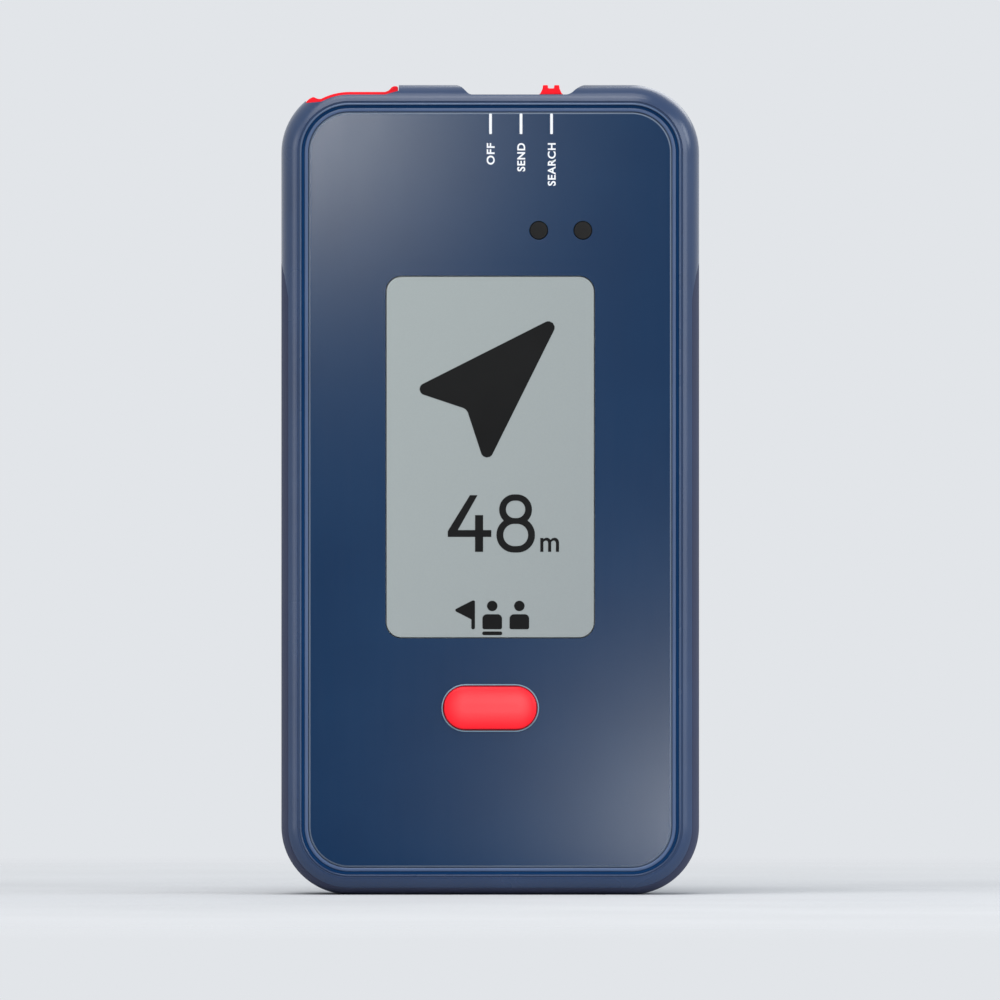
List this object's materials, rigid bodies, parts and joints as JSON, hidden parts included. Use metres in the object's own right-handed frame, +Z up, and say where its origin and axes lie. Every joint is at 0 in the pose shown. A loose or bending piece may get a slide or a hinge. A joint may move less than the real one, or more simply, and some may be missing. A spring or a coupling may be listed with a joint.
{
  "type": "avalanche transceiver",
  "caption": "Hand-held avalanche transceiver: two-shell case with a grip band, glossy display panel, red push buttons, a mode slider on top and a hinged battery door behind.",
  "frame": {"origin": "centre of the bounding box's bottom face, under the flat bottom of the grip band", "axes": "+Z up the case's length, +X to the right seen from the front, +Y towards the back; the display faces -Y"},
  "size_m": [0.064, 0.0246, 0.124],
  "materials": {
    "shell_plastic": "fine satin moulded plastic, dark grey blue",
    "grip_rubber": "soft matt rubber, slightly greyer than the shell",
    "panel_gloss": "polished dark blue panel",
    "display_window": "anti-glare grey window",
    "smoke_lens": "smoked lamp window",
    "red_plastic": "signal red, semi-gloss",
    "lcd_glass": "display glass",
    "white_plastic": "white plastic",
    "black_plastic": "black plastic",
    "board": "green solder mask",
    "steel": "plated steel",
    "ferrite": "dark sintered ferrite",
    "copper": "enamelled copper wire",
    "cell": "printed cell wrapper over a can",
    "seal_rubber": "black elastomer",
    "led": "yellow lamp chip"
  },
  "bodies": {
    "case": {"front_shell": "shell_plastic", "rear_shell": "shell_plastic", "panel_rim": "shell_plastic", "grip_band": "grip_rubber", "front_panel": "panel_gloss", "display_lens": "display_window", "status_lens_left": "smoke_lens", "status_lens_right": "smoke_lens", "lcd_glass": "lcd_glass", "lcd_frame": "white_plastic", "backlight": "white_plastic", "shoulder_switch": "black_plastic", "action_switch": "black_plastic", "hall_sensor_1": "black_plastic", "hall_sensor_2": "black_plastic", "hall_sensor_3": "black_plastic", "microcontroller": "black_plastic", "speaker": "black_plastic", "main_board": "board", "slider_leaf": "steel", "shoulder_spring": "steel", "board_screw_1": "steel", "board_screw_2": "steel", "rf_shield": "steel", "battery_spring_1": "steel", "battery_spring_2": "steel", "battery_spring_3": "steel", "battery_plate_1": "steel", "battery_plate_2": "steel", "battery_plate_3": "steel", "hinge_pin": "steel", "case_screw_1": "steel", "case_screw_2": "steel", "case_screw_3": "steel", "case_screw_4": "steel", "long_rod": "ferrite", "cross_rod": "ferrite", "third_core": "ferrite", "long_coil": "copper", "cross_coil": "copper", "third_coil": "copper", "battery_cell_1": "cell", "battery_cell_2": "cell", "battery_cell_3": "cell", "case_seal": "seal_rubber", "door_seal": "seal_rubber", "lcd_strip": "seal_rubber", "status_led_left": "led", "status_led_right": "led"},
    "mode_slider": {"mode_slider": "red_plastic", "slider_carriage": "black_plastic", "slider_magnet": "steel"},
    "shoulder_button": {"shoulder_button": "red_plastic"},
    "action_button": {"action_button": "red_plastic"},
    "battery_door": {"battery_door": "shell_plastic"},
    "door_lock": {"door_lock": "black_plastic", "lock_cam": "steel"}
  },
  "joints": [
    {"name": "mode_slide", "type": "slide", "parent": "case", "child": "mode_slider", "axis": [1, 0, 0], "range_m": [-0.00934, 0]},
    {"name": "shoulder_press", "type": "slide", "parent": "case", "child": "shoulder_button", "axis": [0, 0, -1], "range_m": [0, 0.0008], "stiffness_N_per_m": 600, "springref_m": -0.0005, "deforming": ["shoulder_spring"]},
    {"name": "action_press", "type": "slide", "parent": "case", "child": "action_button", "axis": [0, 1, 0], "range_m": [0, 0.0006], "stiffness_N_per_m": 800, "springref_m": -0.0004},
    {"name": "door_hinge", "type": "hinge", "parent": "case", "child": "battery_door", "pos_m": [0, 0.0109, 0.0076], "axis": [-1, 0, 0], "range_deg": [0, 95]},
    {"name": "lock_turn", "type": "hinge", "parent": "battery_door", "child": "door_lock", "pos_m": [0, 0.0123, 0.0682], "axis": [0, 1, 0], "range_deg": [0, 90]}
  ]
}
